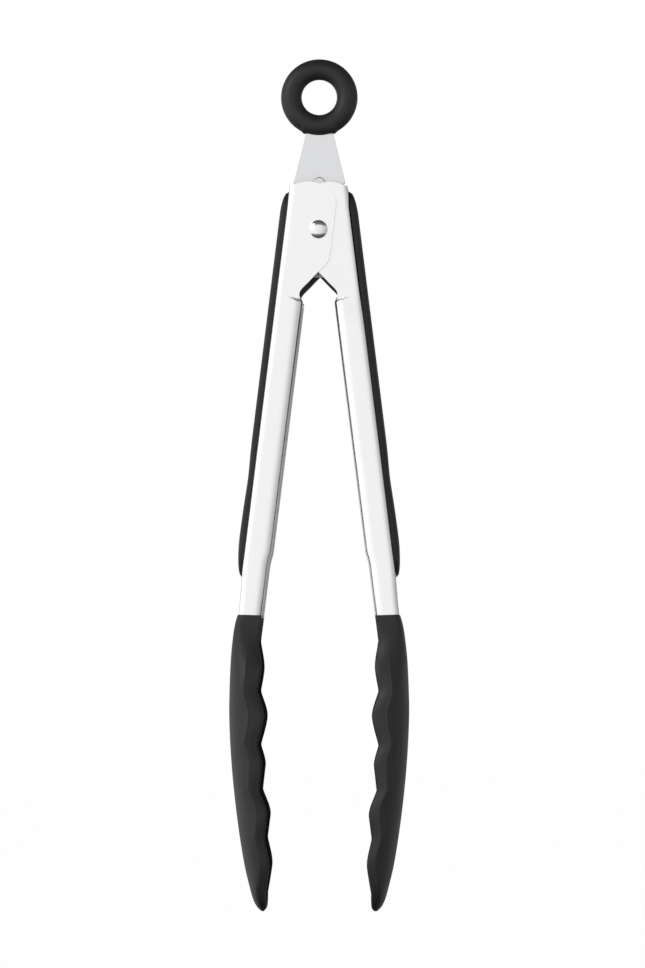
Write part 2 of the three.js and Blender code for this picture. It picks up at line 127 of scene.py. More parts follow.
def round_edges(made, width, segments=2, angle=40):
    """A Bevel modifier that rounds every edge sharper than the angle, as tumbling or moulding does."""
    bevel = made.modifiers.new("edges", "BEVEL")
    bevel.width = width * MM
    bevel.segments = segments
    bevel.limit_method = "ANGLE"
    bevel.angle_limit = math.radians(angle)
    bevel.harden_normals = True


# %% [markdown]
# ## Helpers for curves
# The real outlines are smooth curves that no simple formula gives. They could be drawn as Bezier curves,
# but the sizes are needed as numbers, station by station. `smooth_curve` runs a soft curve through a
# short table of sizes, `blend_step` is a gentle step from 0 to 1, and `rise_and_fall` is a step up
# followed by a step down.


# %% Curve helpers
def smooth_curve(table, at):
    """The value at a position, on a soft curve through rows of (position, value)."""
    last = len(table) - 1
    if at <= table[0][0]:
        return table[0][1]
    if at >= table[last][0]:
        return table[last][1]
    i = next(k for k in range(last) if at <= table[k + 1][0])

    def slope(k):
        (x0, y0), (x1, y1) = table[max(k - 1, 0)], table[min(k + 1, last)]
        return (y1 - y0) / (x1 - x0)

    (x0, y0), (x1, y1) = table[i], table[i + 1]
    span, t = x1 - x0, (at - x0) / (x1 - x0)
    start, end = 2 * t**3 - 3 * t**2 + 1, 3 * t**2 - 2 * t**3
    leave, arrive = t**3 - 2 * t**2 + t, t**3 - t**2
    return start * y0 + end * y1 + span * (leave * slope(i) + arrive * slope(i + 1))


def blend_step(at, low, high):
    """0 up to low, 1 from high on, and a gentle slope between."""
    t = min(max((at - low) / (high - low), 0), 1)
    return t * t * (3 - 2 * t)


def rise_and_fall(at, start, full, fade, end):
    """0 up to start, 1 from full to fade, and 0 again from end on."""
    return blend_step(at, start, full) * (1 - blend_step(at, fade, end))


def mix(a, b, t):
    """From a to b as t goes from 0 to 1."""
    return a + (b - a) * t


def spaced(*stretches):
    """Positions along a piece: each stretch is (start, end, number of steps)."""
    out = []
    for start, end, steps in stretches:
        out += [start + (end - start) * k / steps for k in range(steps)]
    return out + [stretches[-1][1]]


# %% [markdown]
# ## A sheet that is folded or rolled
# Sheet metal starts as a flat blank, and a moulded shell can be thought of as a sheet rolled round. Both
# could be lofted from curves, but a grid keeps its rows and columns, which gives clean shading.
# `formed_sheet` takes a flat grid from `create_grid` and asks for each crossing of its lines where it
# goes. A rolled sheet has its two long edges welded with `remove_doubles`, and its open ends are closed
# with `holes_fill`.


# %% Sheet helpers
def open_edges(bm):
    """The edges at the mesh's open ends."""
    return [edge for edge in bm.edges if edge.is_boundary]


def formed_sheet(columns, rows, place, rolled=False):
    """A bmesh grid with each crossing moved to place(column, row)."""
    bm = bmesh.new()
    bmesh.ops.create_grid(bm, x_segments=columns, y_segments=rows, size=1)
    for vert in bm.verts:
        column = round((vert.co.x + 1) / 2 * columns)
        row = round((vert.co.y + 1) / 2 * rows)
        vert.co = place(column % columns if rolled else column, row)
    if rolled:
        bmesh.ops.remove_doubles(bm, verts=bm.verts, dist=WELD)
        bmesh.ops.holes_fill(bm, edges=open_edges(bm), sides=0)
    return bm


# %% [markdown]
# ## Materials: helpers
# A finish could be painted on an image, but a procedural one has no size limit and stays sharp close up.
# Each look is one Principled BSDF. Noise varies its colour and roughness and lifts a faint bump. The
# noise reads Object coordinates, so the pattern stays on the piece when it moves.

# %% Noise range
NOISE_LOW, NOISE_HIGH = 0.3, 0.7  # nearly all of the noise lies between these


# %% Material helpers
def new_look(name, color, roughness, metallic=0.0):
    """A Principled material and its shader node."""
    look = bpy.data.materials.new(name)
    look.use_nodes = True
    shader = look.node_tree.nodes["Principled BSDF"]
    shader.inputs["Base Color"].default_value = (*color, 1)
    shader.inputs["Roughness"].default_value = roughness
    shader.inputs["Metallic"].default_value = metallic
    return look, shader


def noise(look, scale, detail, stretch=(1, 1, 1)):
    """Noise on Object coordinates, in waves per metre, with a stretch for each axis."""
    nodes, links = look.node_tree.nodes, look.node_tree.links
    where = nodes.new("ShaderNodeTexCoord")
    mapping = nodes.new("ShaderNodeMapping")
    mapping.inputs["Scale"].default_value = stretch
    texture = nodes.new("ShaderNodeTexNoise")
    texture.inputs["Scale"].default_value = scale
    texture.inputs["Detail"].default_value = detail
    links.new(where.outputs["Object"], mapping.inputs["Vector"])
    links.new(mapping.outputs["Vector"], texture.inputs["Vector"])
    return texture.outputs["Fac"]


def vary_roughness(look, shader, value, low, high):
    """Varies the roughness from low to high with a noise."""
    nodes, links = look.node_tree.nodes, look.node_tree.links
    ranged = nodes.new("ShaderNodeMapRange")
    ranged.inputs["From Min"].default_value = NOISE_LOW
    ranged.inputs["From Max"].default_value = NOISE_HIGH
    ranged.inputs["To Min"].default_value = low
    ranged.inputs["To Max"].default_value = high
    links.new(value, ranged.inputs["Value"])
    links.new(ranged.outputs["Result"], shader.inputs["Roughness"])


def vary_color(look, shader, value, dark, light):
    """Varies the base colour between two colours with a noise."""
    nodes, links = look.node_tree.nodes, look.node_tree.links
    ramp = nodes.new("ShaderNodeValToRGB")
    ramp.color_ramp.elements[0].position = NOISE_LOW
    ramp.color_ramp.elements[1].position = NOISE_HIGH
    ramp.color_ramp.elements[0].color = (*dark, 1)
    ramp.color_ramp.elements[1].color = (*light, 1)
    links.new(value, ramp.inputs["Fac"])
    links.new(ramp.outputs["Color"], shader.inputs["Base Color"])


def bump(look, shader, value, height, strength):
    """Raises the surface by a noise, height in millimetres."""
    nodes, links = look.node_tree.nodes, look.node_tree.links
    raised = nodes.new("ShaderNodeBump")
    raised.inputs["Strength"].default_value = strength
    raised.inputs["Distance"].default_value = height * MM
    links.new(value, raised.inputs["Height"])
    links.new(raised.outputs["Normal"], shader.inputs["Normal"])


# %% [markdown]
# ## Materials: steel
# Stainless kitchen tongs are brushed, not polished, and light is smeared along the arm. An anisotropic
# shader could do that. A middling roughness with long thin noise, stretched along the arm, gives the
# same soft streaks and shows the grain close up. The inside of the channel gets a much darker steel colour,
# a painted shade for the little light that gets in there.

# %% Steel looks
STEEL_GRAIN, STEEL_STREAKS = 4500, 1500
STEEL_BUMP = 0.03
STEEL_ROUGHNESS = (0.97, 1.03)
STREAK_SHADE = 0.998
ALONG_ARM, ALONG_TAB, NO_STRETCH = (1, 1, 0.02), (1, 1, 0.03), (1, 1, 1)


def brushed_steel(name, color, roughness, stretch, scratch):
    """Steel with a grain that runs along Z when the stretch is small there. scratch is in millimetres."""
    look, shader = new_look(name, color, roughness, metallic=1.0)
    grain = noise(look, STEEL_GRAIN, detail=3.0, stretch=stretch)
    vary_roughness(look, shader, grain, *(roughness * share for share in STEEL_ROUGHNESS))
    bump(look, shader, grain, scratch, STEEL_BUMP)
    streaks = noise(look, STEEL_STREAKS, detail=2.0, stretch=stretch)
    shade = tuple(channel * STREAK_SHADE for channel in color)
    vary_color(look, shader, streaks, shade, color)
    return look


arm_look = brushed_steel("arm_steel", (0.90, 0.90, 0.895), 0.28, ALONG_ARM, 0.0004)
# The inside of the channel gets a dark steel colour: painted shade, since little light reaches it.
inside_painted_shade_look = brushed_steel("inner_steel_painted_shade", (0.10, 0.10, 0.105), 0.45, ALONG_ARM, 0.001)
tab_look = brushed_steel("tab_steel", (0.76, 0.765, 0.775), 0.36, ALONG_TAB, 0.0005)
rivet_look = brushed_steel("rivet_steel", (0.80, 0.80, 0.795), 0.07, NO_STRETCH, 0.0003)
spring_look = brushed_steel("spring_steel", (0.55, 0.56, 0.57), 0.28, NO_STRETCH, 0.002)
print("steel looks", len(bpy.data.materials))

# %% [markdown]
# ## Materials: rubber, silicone and nylon
# The grips and the ring are a matt soft rubber, and the heads a slightly glossier silicone. A plain
# black would look like a hole in the picture. A very dark grey with a fine moulded grain catches a broad
# soft highlight, and faint clouds keep large surfaces from looking like flat paint. The hollows of the
# heads get a near black colour, a painted shade, and a duller finish.

# %% Soft looks
MOULD_GRAIN, MOULD_CLOUDS = 3500, 120
MOULD_BUMP = 0.5
MOULD_ROUGHNESS = (0.9, 1.1)


def soft_rubber(name, dark, light, roughness, grain_height, gloss=0.32):
    """A soft moulded material, its colour drifting between two greys."""
    look, shader = new_look(name, light, roughness)
    grain = noise(look, MOULD_GRAIN, detail=3.0)
    cloud = noise(look, MOULD_CLOUDS, detail=3.0)
    vary_color(look, shader, cloud, dark, light)
    vary_roughness(look, shader, cloud, *(roughness * share for share in MOULD_ROUGHNESS))
    bump(look, shader, grain, grain_height, MOULD_BUMP)
    shader.inputs["Specular IOR Level"].default_value = gloss
    return look


grip_look = soft_rubber("grip_rubber", (0.015, 0.015, 0.0155), (0.019, 0.019, 0.0195), 0.55, 0.02)
ring_look = soft_rubber("ring_rubber", (0.0195, 0.0195, 0.020), (0.0235, 0.0235, 0.0245), 0.48, 0.02)
head_look = soft_rubber("head_silicone", (0.019, 0.019, 0.0195), (0.023, 0.023, 0.0235), 0.45, 0.03)
# The hollows of the heads get a near black colour, a painted shade, and a duller finish.
hollow_painted_shade_look = soft_rubber("hollow_silicone_painted_shade", (0.004, 0.004, 0.0045), (0.006, 0.006, 0.0065), 0.7, 0.02, 0.2)
bush_look = soft_rubber("bush_nylon", (0.55, 0.54, 0.50), (0.62, 0.61, 0.57), 0.45, 0.01)
print("steel and soft looks", len(bpy.data.materials))

# %% [markdown]
# ## The steel arms
# An arm is one blank of sheet steel. Its long sides are folded up into a channel, the free edges are
# curled inwards so that they don't cut, and at the top the sides grow into two flat ears that the rivet
# goes through. It could be cut out of a block with booleans, but their seams shade badly. The blank here
# is a flat grid, as in the press. `fold` says where each point of it ends up: on the web, round a bend,
# on the flat side, round the curl or on the lip. Near the grip's end the lips step back a little, and
# the right arm's ears are pinched to fit inside the left arm's.

# %% Arm sizes
LIP_UPPER, LIP_LOWER = 2.1, 2.65
LIP_STEP = (100.5, 105.6)
TAPER_START = 104.0
CURL_START, CURL_END = 22.1, 22.8
PINCH = (20.0, 34.0)
COLLAR = 121.8
CHANNEL_END = 121.9
BEND = 1.4
CURL = 2.4
LIP_WIDTH = 3.0
WEB_SHARE, BEND_SHARE, SIDE_SHARE, CURL_SHARE = 0.22, 0.42, 0.62, 0.84  # where each ends on half the blank
EAR_TOP, WEB_TOP = -13.9, -12.6
EAR_EDGE = [
    (EAR_TOP, -0.2), (-13.0, -1.9), (-11.9, -3.05), (-10.5, -3.9), (-8.8, -4.4), (-4.0, -4.5), (3.0, -4.5),
    (7.6, -4.5), (9.0, -4.35), (10.2, -3.8), (12.0, -2.5), (14.2, -0.75), (16.7, 1.1), (18.8, 2.75),
    (19.8, 3.3), (20.8, 3.4), (21.9, 3.15), (23.2, 2.6), (24.4, 2.2), (26.0, LIP_UPPER),
]
REAR_FULLER = 0.45
FAN_END, FAN_START_ACROSS, FAN_POWER = -4, 4.0, 1.5
BOW_MIDDLE, BOW_REACH, BOW_HEIGHT = 4.6, 5.2, 0.55
# The next three pick out the faces inside the channel that get the painted shade.
CHANNEL_MIDDLE = 5.5
DEEP_INSIDE = 4.6
LOOKS_IN = -1
ARM_EDGE_ROUND = 0.15
HALF_COLUMNS = 25
arm_rows = spaced((EAR_TOP, -8, 14), (-8, 8, 8), (8, 28, 44), (28, 98, 24), (98, 110, 20),
                  (110, CHANNEL_END, 5))
print("arm blank", 2 * HALF_COLUMNS, "by", len(arm_rows) - 1, "faces")


# %% Fold the blank
def web_at(down):
    """The web's outer face: it draws in a little where the channel enters the head."""
    return mix(WEB_OUT, WEB_AT_HEAD, blend_step(down, TAPER_START, COLLAR))


def flat_side(t, web, half_width, edge):
    """The flat side of an ear, from the end of the bend to its free edge."""
    return mix(web - BEND, edge, (t - BEND_SHARE) / (1 - BEND_SHARE)), half_width


def curled_side(t, web, half_width, lip):
    """The folded side: flat, then round the curl, then the lip."""
    if t <= SIDE_SHARE:
        return mix(web - BEND, lip + CURL, (t - BEND_SHARE) / (SIDE_SHARE - BEND_SHARE)), half_width
    if t <= CURL_SHARE:
        turn = (t - SIDE_SHARE) / (CURL_SHARE - SIDE_SHARE) * math.pi / 2
        return lip + CURL * (1 - math.sin(turn)), half_width - CURL * (1 - math.cos(turn))
    return lip, half_width - CURL - (LIP_WIDTH - CURL) * (t - CURL_SHARE) / (1 - CURL_SHARE)


def fold(t, down, half_width, ear_edge):
    """Where the blank's point goes, across and sideways: t is 0 at its middle line and 1 at its free edge."""
    web = web_at(down)
    if t <= WEB_SHARE:
        return web, (half_width - BEND) * t / WEB_SHARE
    if t <= BEND_SHARE:
        turn = (t - WEB_SHARE) / (BEND_SHARE - WEB_SHARE) * math.pi / 2
        return web - BEND * (1 - math.cos(turn)), half_width - BEND * (1 - math.sin(turn))
    lip = mix(LIP_UPPER, LIP_LOWER, blend_step(down, *LIP_STEP))
    flat = flat_side(t, web, half_width, ear_edge)
    curled = curled_side(t, web, half_width, lip)
    curl = blend_step(down, CURL_START, CURL_END)
    return mix(flat[0], curled[0], curl), mix(flat[1], curled[1], curl)


def top_drop(down, across):
    """How far the top rows fan down from the ear's corner to the web, with a slight bow on the way."""
    near_top = 1 - blend_step(down, EAR_TOP, FAN_END)
    beyond = blend_step(across, FAN_START_ACROSS, WEB_OUT)
    bow = max(0.0, 1 - ((across - BOW_MIDDLE) / BOW_REACH) ** 2)
    return near_top * ((WEB_TOP - EAR_TOP) * beyond**FAN_POWER - BOW_HEIGHT * bow)


def arm_point(column, row, pinched):
    """Folds one crossing of the blank."""
    t = (column - HALF_COLUMNS) / HALF_COLUMNS
    down = arm_rows[row]
    half_width = OUTER_HALF_WIDTH
    if pinched:
        half_width = mix(INNER_HALF_WIDTH, OUTER_HALF_WIDTH, blend_step(down, *PINCH))
    ear_edge = smooth_curve(EAR_EDGE, down - (REAR_FULLER if t > 0 else 0))
    across, side = fold(abs(t), down, half_width, ear_edge)
    return Vector((across, math.copysign(side, t) if t else 0.0, -down - top_drop(down, across)))


# %% [markdown]
# ## Give the folded blank its thickness
# The folded grid is the outer skin. `solidify` adds the sheet's thickness on the inside, so the normals
# have to point outwards first, which is read off at the web. The faces that look into the channel get
# the darker look, a painted shade. A live Bevel modifier rounds the cut edges at the end, when everything
# else is in place.


# %% Build the arms
def mark_painted_shade_inside(bm):
    """Gives the faces that look into the channel the second material, whose dark colour is painted shade."""
    for face in bm.faces:
        centre = face.calc_center_median()
        inward = face.normal.dot(Vector((centre.x - CHANNEL_MIDDLE, centre.y, 0))) < LOOKS_IN
        face.material_index = int(inward and (centre.x > DEEP_INSIDE or centre.z > -CURL_END))


def build_arm(side, pinched):
    bm = formed_sheet(2 * HALF_COLUMNS, len(arm_rows) - 1, lambda c, r: arm_point(c, r, pinched))
    bmesh.ops.recalc_face_normals(bm, faces=bm.faces)
    web = max(bm.faces, key=lambda face: face.calc_center_median().x)
    if web.normal.x < 0:
        bmesh.ops.reverse_faces(bm, faces=bm.faces)
    bmesh.ops.solidify(bm, geom=bm.faces[:], thickness=SHEET)
    mark_painted_shade_inside(bm)
    made = put_on_arm(bm, side, "arm_steel", "arm", arm_look)
    # The second material is the channel's painted shade, a dark steel colour.
    made.data.materials.append(inside_painted_shade_look)
    round_edges(made, ARM_EDGE_ROUND)


build_arm(1, pinched=True)
build_arm(-1, pinched=False)

# %% [markdown]
# ## The soft grips
# A strip of soft rubber is moulded through three holes onto the back of each arm. It rises quickly at
# its ends, has a shallow waist where a finger rests, and swells a little before its lower end. A box
# with a Subdivision modifier could do, but then the waist and the blunt ends have no exact sizes. The
# strip is a sheet rolled round its own cross-section, with a flat underside and a crowned back, and its
# three studs are short cones.

# %% Grip sizes
GRIP_TOP, GRIP_END = -11.4, 110.0
GRIP_THICKNESS = 2.25
GRIP_HALF_WIDTH = 7.6
GRIP_GAP = 0.05
TIP_THICKNESS, TIP_HALF_WIDTH = 0.15, 0.8
TOP_RISE, END_RISE = 7.5, 13.0
TOP_ROUND, END_ROUND = 6.0, 7.0
WAIST_AT, WAIST_DEPTH, WAIST_REACH = 79.0, 0.28, 6.5
SWELL_AT, SWELL_HEIGHT, SWELL_REACH = 98.0, 0.1, 7.0
BOXY = 0.42
GRIP_COLUMNS = 40
GRIP_EDGE_ROUND = 0.25
STUDS = (12, 50, 88)
STUD_HEAD_RADIUS, STUD_TIP_RADIUS, STUD_HEAD_DEPTH, STUD_HEAD_IN = 2.8, 2.5, 1.0, 0.6
STUD_RADIUS, STUD_DEPTH, STUD_IN = 1.6, 1.6, 0.4
STUD_HEAD_SEGMENTS, STUD_SEGMENTS = 32, 24
grip_rows = spaced((0, 0.02, 2), (0.02, 0.1, 9), (0.1, 0.9, 60), (0.9, 0.98, 10), (0.98, 1, 3))
print("grip length", GRIP_END - GRIP_TOP, "mm")


# %% Grip shape
def quarter_round(t):
    """Rises from 0 to 1 along a quarter of a circle."""
    return math.sqrt(max(0.0, 1 - (1 - min(t, 1)) ** 2))


def bell(at, middle, reach):
    """A soft hump, 1 at its middle."""
    return math.exp(-(((at - middle) / reach) ** 2))


def grip_point(column, row):
    """Rolls one crossing of the sheet round the strip's cross-section."""
    down = mix(GRIP_TOP, GRIP_END, grip_rows[row])
    from_top, from_end = down - GRIP_TOP, GRIP_END - down
    rise = min(quarter_round(from_top / TOP_RISE), quarter_round(from_end / END_RISE))
    spread = min(quarter_round(from_top / TOP_ROUND), quarter_round(from_end / END_ROUND))
    width = TIP_HALF_WIDTH + (GRIP_HALF_WIDTH - TIP_HALF_WIDTH) * spread
    waist = -WAIST_DEPTH * bell(down, WAIST_AT, WAIST_REACH)
    swell = SWELL_HEIGHT * bell(down, SWELL_AT, SWELL_REACH) - SWELL_HEIGHT
    height = TIP_THICKNESS + (GRIP_THICKNESS - TIP_THICKNESS + waist + swell) * rise
    turn = 2 * math.pi * column / GRIP_COLUMNS
    side, up = math.cos(turn), math.sin(turn)
    if up <= 0:
        return Vector((WEB_OUT + GRIP_GAP, width * side, -down))
    boxy_side = math.copysign(abs(side) ** BOXY, side)
    return Vector((WEB_OUT + GRIP_GAP + height * up**BOXY, width * boxy_side, -down))


# %% Build the grips
def stud(bm, down, across, bottom, top, depth, segments):
    """A short cone along the arm's X axis, through the web."""
    place = Matrix.Translation((across, 0, -down)) @ Matrix.Rotation(math.pi / 2, 4, "Y")
    bmesh.ops.create_cone(bm, cap_ends=True, segments=segments, radius1=bottom, radius2=top, depth=depth,
                          matrix=place)


def build_grip(side):
    bm = formed_sheet(GRIP_COLUMNS, len(grip_rows) - 1, grip_point, rolled=True)
    for down in STUDS:
        stud(bm, down, WEB_OUT - SHEET - STUD_HEAD_IN, STUD_HEAD_RADIUS, STUD_TIP_RADIUS, STUD_HEAD_DEPTH,
             STUD_HEAD_SEGMENTS)
        stud(bm, down, WEB_OUT - STUD_IN, STUD_RADIUS, STUD_RADIUS, STUD_DEPTH, STUD_SEGMENTS)
    made = put_on_arm(bm, side, "grip_strip", "grip", grip_look)
    round_edges(made, GRIP_EDGE_ROUND, segments=3, angle=50)


build_grip(1)
build_grip(-1)

# %% [markdown]
# ## The silicone heads
# Each head is a hollow scoop with a thick round rim. Five scallops run along both rims, and a soft
# crease with a very low ridge follows them a few millimetres away, where the round back turns into a
# side band. It could be sculpted, but then the two heads would not mirror each other and the scallops
# would not meet. The scoop is a sheet rolled round its own cross-section, station by station down the
# head: back, crease, band, rim and hollow on one side, then the same mirrored.

# %% Head sizes
TIP = 212.0
HEAD_BACK = [
    (COLLAR, 10.25), (122.4, 10.42), (124.5, 10.75), (128, 10.95), (136, 10.85), (147, 10.0), (154.5, 9.1),
    (165.5, 7.2), (176.5, 4.85), (187.5, 2.1), (198.5, -1.1), (205.5, -3.7), (209, -5.2), (211, -6.6),
    (TIP, -7.85),
]
HEAD_RIM = [  # crests and valleys in turn, the first row is a crest
    (121.5, 2.7), (129, 2.75), (138.2, 0.65), (144.4, 0.95), (152.6, -2.05), (161, -1.1), (167.6, -3.3),
    (174.8, -3.4), (182.7, -6.75), (189.4, -6.75), (198.4, -9.3), (206.1, -9.1), (210.6, -9.55), (TIP, -8.9),
]
RIM_ROUNDING = 0.45
HEAD_WIDTH = [
    (121.5, 9.45), (122.3, 9.65), (125, 10.0), (133, 11.8), (143, 14.1), (153, 15.1), (167, 15.3),
    (181, 15.1), (194, 13.9), (203, 11.3), (208, 8.6), (211, 5.2), (TIP, 2.6),
]
BAND = [
    (120.6, 1.2), (124, 3.2), (129, 4.6), (136, 5.1), (148, 5.0), (160, 4.3), (175, 3.5), (190, 3.1),
    (TIP, 2.4),
]
BAND_LIMIT = 0.48
VALLEY_LEAN, CREST_LEAN = 0.95, 0.3
LEAN_SPAN = (122, 134, 192, 209)
CREASE_CUT = math.radians(17)
CREASE_SPAN = (124, 138)
CREASE_ROUND, CREASE_LIMIT = 0.55, 0.3
CREASE_RIDGE = 0.15
RIDGE_SPAN = (130, 142, 186, 204)
RIM_RADIUS, COLLAR_RIM_SHARE = 1.15, 0.45
RIM_GROWTH = (122, 134)
RIM_DEPTH_LIMIT, RIM_WIDTH_LIMIT = 0.3, 0.28
BOXY_AT_COLLAR, BOXY_BELOW = 0.26, 0.78
BOXY_SPAN = (124, 148)
BACK_WALL, LEAST_HOLLOW = 3.5, 0.3
HOLLOW_SPAN = (126, 150, TIP - 10, TIP - 1)
# The last of these, in rim radii, keeps the hollow's painted shade clear of the rim.
HOLLOW_POWER, BOWL_START, HOLLOW_SHADE_MARGIN = 0.8, 0.8, 1.5
COLLAR_SLANT, SLANT_LENGTH = 0.09, 10
BACK_STEPS, CREASE_STEPS, BAND_STEPS, RIM_STEPS, HOLLOW_STEPS = 13, 7, 6, 8, 11
head_rows = spaced((COLLAR, 123, 6), (123, 204, 108), (204, 211, 14), (211, TIP, 10))
print("head length", round(TIP - COLLAR, 1), "mm in", len(head_rows), "stations")


# %% The scalloped rim
def rim_at(down):
    """The scalloped rim: its distance across, and how near it is to a crest, from 0 to 1."""
    last = len(HEAD_RIM) - 2
    i = next((k for k in range(last + 1) if down <= HEAD_RIM[k + 1][0]), last)
    (start, a), (end, b) = HEAD_RIM[i], HEAD_RIM[i + 1]
    t = min(max((down - start) / (end - start), 0), 1)
    wave = blend_step(t, 0, 1)
    to_crest = i % 2 == 1
    scallop = 1 - (1 - t) ** 2 if to_crest else t**2
    return mix(a, b, mix(scallop, wave, RIM_ROUNDING)), wave if to_crest else 1 - wave


# %% [markdown]
# ## The head's cross-section
# A section is a list of (across, sideways) points from the middle of the back, round the rim, to the
# middle of the hollow. Its sizes change down the head, so they are worked out first, and each stretch of
# the section is a short function of them. The number of points is the same at every station, which the
# grid needs.


# %% Sizes at one station
def section_sizes(down):
    """The sizes of the cross-section at one station down the head."""
    back, half = smooth_curve(HEAD_BACK, down), smooth_curve(HEAD_WIDTH, down)
    rim, crest = rim_at(down)
    depth = back - rim
    rim_share = mix(COLLAR_RIM_SHARE, 1, blend_step(down, *RIM_GROWTH))
    size = SimpleNamespace(rim=rim, half=half, depth=depth)
    size.band = min(smooth_curve(BAND, down), depth * BAND_LIMIT)
    size.lean = mix(VALLEY_LEAN, CREST_LEAN, crest) * rise_and_fall(down, *LEAN_SPAN)
    size.radius = min(RIM_RADIUS * rim_share, depth * RIM_DEPTH_LIMIT, half * RIM_WIDTH_LIMIT)
    size.boxy = mix(BOXY_AT_COLLAR, BOXY_BELOW, blend_step(down, *BOXY_SPAN))
    size.hollow = max(LEAST_HOLLOW, depth - BACK_WALL) * rise_and_fall(down, *HOLLOW_SPAN)
    size.cut = CREASE_CUT * blend_step(down, *CREASE_SPAN)
    size.soft = min(CREASE_ROUND, size.band * CREASE_LIMIT)
    size.ridge = CREASE_RIDGE * rise_and_fall(down, *RIDGE_SPAN)
    return size


# %% The stretches of a section
def back_points(size):
    """The round back, from its middle to just above the crease."""
    low, wide = math.sin(size.cut) ** size.boxy, math.cos(size.cut) ** size.boxy
    points = []
    for k in range(BACK_STEPS):
        turn = mix(math.pi / 2, size.cut, k / BACK_STEPS)
        up = (math.sin(turn) ** size.boxy - low) / (1 - low)
        side = size.half * math.cos(turn) ** size.boxy / wide if k else 0.0
        points.append((size.rim + size.band + (size.depth - size.band) * up, side))
    return points


def crease_points(size, before):
    """A small rounded corner where the back turns into the band, raised to a low ridge."""
    crease = size.rim + size.band
    share = size.soft / (before[0] - size.rim - size.band)
    above = before[1] + (size.half - before[1]) * (1 - share)
    below = size.half - size.lean * (size.soft / size.band) ** 2
    points = []
    for k in range(CREASE_STEPS):
        t = k / (CREASE_STEPS - 1)
        a, b, c = (1 - t) ** 2, 2 * t * (1 - t), t * t
        lift = size.ridge * math.sin(t * math.pi) ** 2
        points.append((crease + (a - c) * size.soft, a * above + b * size.half + c * below + lift))
    return points


def band_points(size):
    """The side band, leaning in towards the rim."""
    points = []
    for k in range(1, BAND_STEPS):
        t = mix(size.soft / size.band, 1, k / BAND_STEPS)
        across = mix(size.rim + size.band, size.rim + size.radius, t)
        points.append((across, size.half - size.lean * t * t))
    return points


def rim_points(size):
    """Half a circle over the rim."""
    points = []
    for k in range(RIM_STEPS):
        turn = k / (RIM_STEPS - 1) * math.pi
        side = size.half - size.lean - size.radius * (1 - math.cos(turn))
        points.append((size.rim + size.radius * (1 - math.sin(turn)), side))
    return points


def hollow_points(size):
    """The bowl inside, from the rim to its deepest point."""
    inner = size.half - size.lean - 2 * size.radius
    bowl = size.hollow - size.radius * BOWL_START
    points = []
    for k in range(1, HOLLOW_STEPS + 1):
        turn = k / HOLLOW_STEPS * math.pi / 2
        across = size.rim + size.radius + bowl * math.sin(turn) ** HOLLOW_POWER
        points.append((across, inner * max(math.cos(turn), 0) ** HOLLOW_POWER))
    return points


def half_section(down):
    """The points of one station, from the middle of the back to the middle of the hollow."""
    size = section_sizes(down)
    back = back_points(size)
    crease = crease_points(size, back[-1])
    return back + crease + band_points(size) + rim_points(size) + hollow_points(size)


# %% Build the heads
sections = [half_section(down) for down in head_rows]


def head_point(column, row):
    """Rolls one crossing of the sheet round its section, the second half mirrored."""
    half, down = sections[row], head_rows[row]
    last = len(half) - 1
    across, side = half[min(column, 2 * last - column)]
    slant = COLLAR_SLANT * (half[0][0] - across) * (1 - blend_step(down, COLLAR, COLLAR + SLANT_LENGTH))
    return Vector((across, math.copysign(side, last - column), slant - down))


def mark_painted_shade_hollow(bm):
    """Gives the faces inside the bowl the second material, whose near black colour is painted shade."""
    bmesh.ops.recalc_face_normals(bm, faces=bm.faces)
    for face in bm.faces:
        centre = face.calc_center_median()
        wall = smooth_curve(HEAD_WIDTH, -centre.z) - HOLLOW_SHADE_MARGIN * RIM_RADIUS - abs(centre.y)
        face.material_index = int(wall > 0 and face.normal.x < 0 and -centre.z > COLLAR)


def build_head(side):
    bm = formed_sheet(2 * (len(sections[0]) - 1), len(head_rows) - 1, head_point, rolled=True)
    mark_painted_shade_hollow(bm)
    made = put_on_arm(bm, side, "head_scoop", "head", head_look)
    # The second material is the hollow's painted shade, a near black silicone colour.
    made.data.materials.append(hollow_painted_shade_look)


build_head(1)
build_head(-1)

# %% [markdown]
# ## The hanging ring
# The ring is a plain rubber torus. `primitive_torus_add` would make one too, but a circle spun right
# round stays a bmesh, so it can be shaped further before it becomes an object. Where the ring is moulded
# over the tab it has two small square shoulders, so the lower outside of the spun torus is pushed out
# there.

# %% Ring shape
TUBE = (RING_OUTER - RING_BORE) / 4
RING_MIDDLE = RING_BORE / 2 + TUBE
TUBE_SEGMENTS, RING_STEPS = 40, 120
NECK_HALF, NECK_CORNER = 4.8, 0.9
NECK_TOP, NECK_LEVEL = -9, -11.4


def square_neck(bm):
    """Pushes the lower outside of the ring out to a level edge."""
    for vert in bm.verts:
        radius = math.hypot(vert.co.x, vert.co.z)
        if vert.co.z > NECK_TOP or radius < RING_MIDDLE:
            continue
        outward = (radius - RING_MIDDLE) / TUBE
        wide = 1 - blend_step(abs(vert.co.x), NECK_HALF, NECK_HALF + NECK_CORNER)
        low = min(vert.co.z, NECK_LEVEL * outward + vert.co.z * (1 - outward))
        vert.co.z = mix(vert.co.z, low, wide * outward**2)


bm = bmesh.new()
upright = Matrix.Translation((RING_MIDDLE, 0, 0))
tube = bmesh.ops.create_circle(bm, segments=TUBE_SEGMENTS, radius=TUBE, matrix=upright)
bmesh.ops.spin(bm, geom=tube["verts"] + bm.edges[:], cent=(0, 0, 0), axis=(0, 1, 0), angle=2 * math.pi,
               steps=RING_STEPS, use_merge=True)
square_neck(bm)
put(bm, "rubber_ring", RING_PLACE, "tab", "hang_ring", ring_look)

# %% [markdown]
# ## The pull tab
# A flat steel plate, cut to a taper, with a slot that the rivet runs in and a small round bump pressed
# up on each face inside a fine groove. Booleans could cut the slot, but would leave long thin faces.
# Here the outline, the slot and the groove are closed loops of edges. `triangle_fill` fills between
# them, and the face is extruded to the sheet's thickness. A thin disc closes the groove's floor.

